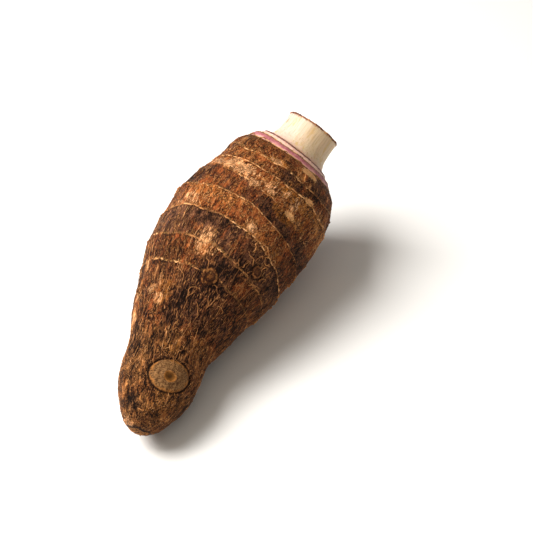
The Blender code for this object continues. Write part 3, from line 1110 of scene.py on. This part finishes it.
@dataclass
class ScarEdges:
    """The torn edges that stand along the leaf scars, as chains of short pale strips."""

    shape: GrownShape
    seed: int = 31
    strip: tuple[float, float] = (0.8, 3.4)
    points: int = 7
    wobble: float = 0.14
    offset: float = 0.34
    lift: float = 0.16
    # Where the side turned from the key light lies, in radians, and how wide it is; strips there are painted
    # darker and made thinner.
    shaded_side_angle: float = -1.2
    shaded_side_span: float = 1.2

    def build(self, material: Material) -> None:
        """Lay a chain of strips along every leaf scar."""
        rng = np.random.default_rng(self.seed)
        paths, radii, tones = [], [], []
        for scar in LEAF_SCARS[:-1]:
            angle = -math.pi
            while angle < math.pi:
                radius = self.shape.outline_radius(scar.along)
                span = rng.uniform(*self.strip) / radius
                presence = noise.noise(Vector((2.2 * math.cos(angle), 2.2 * math.sin(angle), scar.along)))
                turns = angle + span * np.linspace(0.0, 1.0, self.points)
                middle = off_axis(scar.along, radius, turns[self.points // 2])
                on_bud = min(self.shape.distance(middle, bud) for bud in BUDS) < 1.3
                if rng.random() < 0.95 * scar.boldness + presence * 0.8 and not on_bud:
                    along = scar.place(turns) + rng.normal(0.0, self.wobble, self.points)
                    along = along + rng.normal(0.0, self.offset)
                    rows = np.interp(along, self.shape.profile[:, 0], np.arange(self.shape.stations))
                    paths.append(self.shape.on_skin(rows, turns, np.full(self.points, self.lift)))
                    taper = np.sin(math.pi * np.linspace(0.1, 0.9, self.points)) ** 0.6
                    # Painted shade: strips on the side turned from the key light get darker tones; they are
                    # thinner there too.
                    shaded_side = bell(angle - self.shaded_side_angle, self.shaded_side_span)
                    thickness = rng.uniform(0.24, 0.48) * (1 - 0.2 * shaded_side)
                    radii.append(thickness * taper * rng.uniform(0.6, 1.3, self.points))
                    tones.append(rng.uniform(0.5, 1.15) - 0.28 * shaded_side)
                angle += span * rng.uniform(0.95, 1.4)
        piece = swept("leaf_scar_edges", np.array(paths), np.array(radii), tones)
        dress_points(piece.data, self.shape)
        lay_down(piece, self.shape, material)


@dataclass
class LeafBase:
    """One trimmed leaf base: a short tube with a wavy, torn top edge that stands on the crown."""

    shape: GrownShape
    name: str
    node: str
    outside: Sequence[Sequence[float]]
    inside: float
    tear: float
    sides: int = 300
    rows: int = 16
    rib: float = 0.009

    def build(self, material: Material) -> None:
        """Turn the tube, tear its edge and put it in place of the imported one."""
        foot, top = self.outside[0][0], self.outside[-1][0]
        outer = even_points(smooth_path([(*point, 0.0) for point in self.outside], 6), self.rows)
        lip = (top + 0.15, (self.outside[-1][1] + self.inside) / 2)
        inner = [(height, self.inside) for height in np.linspace(top, foot, 5)]
        base = self.shape.base
        piece = turned(self.name, np.array([*outer[:, :2], lip, *inner]) + (base, 0), self.sides)
        points = places_of(piece.data)
        rise = np.clip((points[:, 0] - base - foot) / (top - foot), 0.0, 1.0)
        angle = np.arctan2(points[:, 1], points[:, 2])
        tear = np.array([self.torn(value) for value in angle])
        ribs = np.array([noise.noise(Vector((0.0, p[1] * 0.8, p[2] * 0.8))) for p in points])
        points[:, 0] += rise**2 * tear
        points[:, 1:] *= (1 + self.rib * ribs * rise)[:, None]
        move_points(piece.data, points)
        carry(piece.data, "rise", rise)
        lay_down(piece, self.shape, material)
        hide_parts(self.node)

    def torn(self, angle: float) -> float:
        """How far the top edge stands up or falls short at an angle, in mm."""
        around = Vector((math.cos(angle), math.sin(angle), self.tear))
        wave = 0.45 * noise.noise(around * 2.0)
        teeth = 0.8 * abs(noise.noise(around * 9.0)) + 0.5 * noise.noise(around * 22.0)
        return self.tear * (wave + teeth) - 0.2


@dataclass
class StalkStub:
    """The cut stub of the leaf stalks."""

    shape: GrownShape
    outside: Sequence[Sequence[float]] = (
        (0, 18.3), (6.6, 18.2), (7.6, 17), (9.8, 15.9), (13, 14.9), (18, 14.5), (23.2, 14.6)
    )
    cut: float = 23.9
    # The cut face from its edge to its middle: (how far below the cut, radius) in mm.
    face: Sequence[Sequence[float]] = (
        (0.15, 14.5), (0, 14.1), (-0.05, 12.8), (0, 11), (0.1, 9), (0.5, 7.8), (0.45, 5), (0.5, 2), (0.5, 0)
    )
    radius: float = 14.5
    sides: int = 300
    rib: float = 0.012
    grain: float = 0.10
    nick_height: float = 18.5
    nick_angle: float = 0.62
    nick_size: tuple[float, float] = (2.0, 0.45)
    # Where the stub's lit side faces, which its finish paints paler, in radians.
    painted_light_angle: float = 0.9

    def build(self, material: Material) -> None:
        """Turn the stub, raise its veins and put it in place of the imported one."""
        side = even_points(smooth_path([(*point, 0.0) for point in self.outside], 6), 44)[:, :2]
        face = [(self.cut - drop, radius) for drop, radius in self.face]
        base = self.shape.base
        profile = np.array([(0.0, 0.0), (0.0, 8.0), *side, *face]) + (base, 0)
        piece = turned("stalk_stub_flesh", profile, self.sides)
        points = places_of(piece.data)
        rise = (points[:, 0] - base) / self.cut
        radius = np.hypot(points[:, 1], points[:, 2])
        on_face = ease((rise - 0.97) / 0.02) * ease((self.radius - 0.05 - radius) / 0.25)
        veins = np.array([self.vein(p) for p in points])
        points[:, 1:] *= (1 + self.rib * veins * (radius > 12))[:, None]
        points[:, 0] += self.grain * on_face * np.array([noise.noise(p * 0.8) for p in map(Vector, points)])
        move_points(piece.data, points)
        angle = np.arctan2(points[:, 1], points[:, 2])
        length, width = self.nick_size
        nick = ((points[:, 0] - base - self.nick_height) / length) ** 2
        nick = nick + ((angle - self.nick_angle) * self.radius / width) ** 2
        carried = {
            "nick": np.exp(-nick),
            # Painted light: 1 on the stub's lit side, falling to 0 on its shaded side.
            "pale": 0.5 + 0.5 * np.cos(angle - self.painted_light_angle),
            "rise": rise,
            "cut_radius": radius / self.radius,
            "cut_face": on_face,
        }
        for name, values in carried.items():
            carry(piece.data, name, values)
        lay_down(piece, self.shape, material)
        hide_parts("stalk_stub")

    @staticmethod
    def vein(point: Array) -> float:
        """The lengthwise ribs' height at a point, of unit size."""
        wide = noise.noise(Vector((point[0] * 0.03, point[1] * 0.35, point[2] * 0.35)))
        fine = noise.noise(Vector((point[0] * 0.05, point[1] * 1.1, point[2] * 1.1)))
        return wide + 0.6 * fine


@dataclass
class DriedRim:
    """A thin torn edge that runs round the crown or round the cut, built as a wavy strip."""

    shape: GrownShape
    name: str
    height: float
    radius: float
    thickness: float
    waviness: float
    seed: int
    strips: int = 90
    points: int = 7

    def build(self, material: Material, slot: str) -> None:
        """Lay short strips end to end round the edge."""
        rng = np.random.default_rng(self.seed)
        base = self.shape.base + self.height
        paths, radii, tones = [], [], []
        span = math.tau / self.strips
        for number in range(self.strips):
            turns = number * span + span * np.linspace(-0.12, 1.12, self.points)
            wave = np.array([self.wave(angle, 3) + 0.6 * self.wave(angle, 14) for angle in turns])
            along = base + self.waviness * wave
            out = self.radius + rng.normal(0.0, 0.03, self.points)
            paths.append(off_axis(along, out, turns))
            radii.append(self.thickness * rng.uniform(0.55, 1.2, self.points))
            tones.append(rng.uniform(0.2, 1.0))
        piece = swept(self.name, np.array(paths), np.array(radii), tones)
        for name in ("worn", "dark"):
            carry(piece.data, name, np.zeros(len(piece.data.vertices)))
        lay_down(piece, self.shape, material)

    def wave(self, angle: float, size: float) -> float:
        """Noise round the edge, which comes back to its start after a full turn."""
        return noise.noise(Vector((math.cos(angle) * size, math.sin(angle) * size, self.seed)))


# --- The studio ---


@dataclass
class Studio:
    """A pale floor, soft daylight from the upper left and a long lens that looks down on the corm."""

    azimuth: float = -64.1
    elevation: float = 42.54
    distance: float = 0.740
    lens: float = 100.0
    sensor: float = 36.0
    aim: tuple[float, float, float] = (95.0, -4.0, 37.8)
    slide: tuple[float, float] = (0.0232, 0.00163)
    sky: float = 0.14
    floor_size: float = 4.0
    floor_drop: float = 0.0002

    def build(self, shape: GrownShape) -> None:
        """Set up the camera, the lights, the sky and the floor."""
        turn, rise = math.radians(self.azimuth), math.radians(self.elevation)
        back = Vector((math.sin(turn) * math.cos(rise), -math.cos(turn) * math.cos(rise), math.sin(rise)))
        right = Vector((math.cos(turn), math.sin(turn), 0.0))
        up = back.cross(right)
        aim = Vector(self.aim) * MM + Vector(shape.shift) + right * self.slide[0] + up * self.slide[1]
        scene = bpy.context.scene
        lens = bpy.data.cameras.new("camera")
        lens.lens = self.lens
        lens.sensor_width = self.sensor
        scene.camera = linked("camera", lens)
        scene.camera.location = aim + back * self.distance
        scene.camera.rotation_euler = back.to_track_quat("Z", "Y").to_euler()
        scene.view_settings.view_transform = "Standard"
        self.lamp("key", aim, Vector((-0.24, 0.58, 0.78)), 0.9, 0.60, 17.2, (1.0, 0.97, 0.92))
        self.lamp("fill", aim, back * 0.9 - right * 0.05 + up * 0.2, 1.2, 1.3, 3.8, (1.0, 0.87, 0.69))
        self.lay_floor()
        world = bpy.data.worlds.new("sky")
        world.use_nodes = True
        sky = world.node_tree.nodes["Background"].inputs
        sky["Color"].default_value = (1.0, 1.0, 1.0, 1.0)
        sky["Strength"].default_value = self.sky
        scene.world = world

    @staticmethod
    def lamp(
        name: str, aim: Vector, towards: Vector, reach: float, size: float, power: float, colour: Colour
    ) -> None:
        """Hang a square soft light.

        Args:
            name: The light's name.
            aim: What it points at.
            towards: The direction from there to the light.
            reach: How far away it hangs, in metres.
            size: The length of its side, in metres.
            power: Its power in watts.
            colour: Its colour.
        """
        light = bpy.data.lights.new(name, "AREA")
        light.size = size
        light.energy = power
        light.color = colour
        holder = linked(name, light)
        direction = towards.normalized()
        holder.location = aim + direction * reach
        holder.rotation_euler = direction.to_track_quat("Z", "Y").to_euler()

    def lay_floor(self) -> None:
        """Lay the floor a hair below the corm, so that the two don't share a plane."""
        bm = bmesh.new()
        bmesh.ops.create_grid(bm, x_segments=2, y_segments=2, size=self.floor_size)
        mesh = bpy.data.meshes.new("floor")
        bm.to_mesh(mesh)
        bm.free()
        mesh.materials.append(FloorFinish().material())
        floor = linked("floor", mesh)
        floor.location.z = -self.floor_drop


# --- Putting it together ---


# Name, count, points, length, thickness, spread, curl, lift, tone, seed, and for some a span and angles.
STRANDS = rows_of(
    Strands,
    ("short_flakes_a", 1500, 4, (1.0, 3.4), (0.08, 0.17), 6, 5, 0.15, (0.46, 0.26), 11),
    ("short_flakes_b", 1000, 4, (0.7, 2.2), (0.08, 0.17), 7, 5, 0.15, (0.30, 0.24), 12),
    ("short_flakes_c", 1100, 4, (1.4, 4.4), (0.06, 0.13), 6, 6, 0.20, (0.80, 0.22), 13),
    ("loose_hairs", 260, 9, (3, 7), (0.06, 0.11), 18, 50, 0.6, (0.75, 0.2), 14),
    ("pale_squiggles", 34, 12, (5, 9), (0.16, 0.26), 34, 130, 0.5, (0.85, 0.12), 15, (80, 106), (-76, -40)),
    ("root_end_flakes", 700, 4, (1, 4), (0.08, 0.18), 10, 18, 0.3, (0.50, 0.32), 17, (0.5, 72)),
    ("neck_fringe", 90, 9, (3, 7), (0.08, 0.17), 26, 90, 0.7, (0.74, 0.18), 16, (28, 58), (-110, 50)),
    ("pale_flakes", 260, 4, (1.4, 4), (0.08, 0.14), 9, 10, 0.3, (0.84, 0.2), 21, (48, 82), (-110, 10)),
    ("long_fibres", 900, 8, (5, 13), (0.07, 0.14), 5, 9, 0.3, (0.5, 0.26), 18, (24, 92)),
    ("long_hairs", 10, 14, (9, 15), (0.12, 0.19), 12, 50, 0.8, (0.9, 0.1), 19, (56, 80), (-60, 0)),
)


def main() -> None:
    """Build the corm from its skin out, then its leaf bases, its stub and the studio."""
    shape = GrownShape()
    Studio().build(shape)
    skin = SkinFinish().material()
    fibre = FibreFinish().material()
    CormSkin(shape).build(skin)
    for kind in STRANDS:
        kind.build(shape, fibre)
    ScarEdges(shape).build(fibre)
    outer_edge, inner_edge = (paint(124, 92, 48), 0.18), (paint(104, 46, 50), 0.14)
    mauve = LeafBaseFinish(
        "mauve_leaf_base", paint(150, 80, 88), paint(184, 112, 116), paint(220, 162, 152), *outer_edge
    )
    pink = LeafBaseFinish(
        "pink_leaf_base", paint(222, 172, 152), paint(232, 196, 176), paint(206, 138, 130), *inner_edge
    )
    outer_profile = ((0, 25.9), (1.7, 25.2), (3.6, 23.7))
    inner_profile = ((0, 21.9), (3.8, 21.8), (6.8, 19.9))
    outer = LeafBase(shape, "outer_leaf_sheath", "outer_leaf_base", outer_profile, 22.2, 0.9)
    outer.build(mauve.material())
    inner = LeafBase(shape, "inner_leaf_sheath", "inner_leaf_base", inner_profile, 18.6, 0.5)
    inner.build(pink.material())
    StalkStub(shape).build(StalkFinish().material())
    dried = FibreFinish("dried_edge", paint(72, 42, 20), paint(142, 96, 48), paint(206, 160, 104))
    browned = FibreFinish("browned_edge", paint(62, 26, 16), paint(104, 52, 32), paint(150, 92, 58))
    straw, brown = dried.material(), browned.material()
    DriedRim(shape, "skin_top_edge", -0.1, 26.05, 0.34, 1.0, 5).build(straw, "skin")
    DriedRim(shape, "outer_sheath_edge", 3.5, 23.4, 0.30, 0.6, 6).build(straw, "outer_leaf_base")
    DriedRim(shape, "inner_sheath_edge", 6.8, 19.7, 0.16, 0.2, 7).build(brown, "inner_leaf_base")
    DriedRim(shape, "cut_edge", 23.4, 14.4, 0.56, 0.35, 8).build(brown, "stalk")


if __name__ == "__main__":
    main()
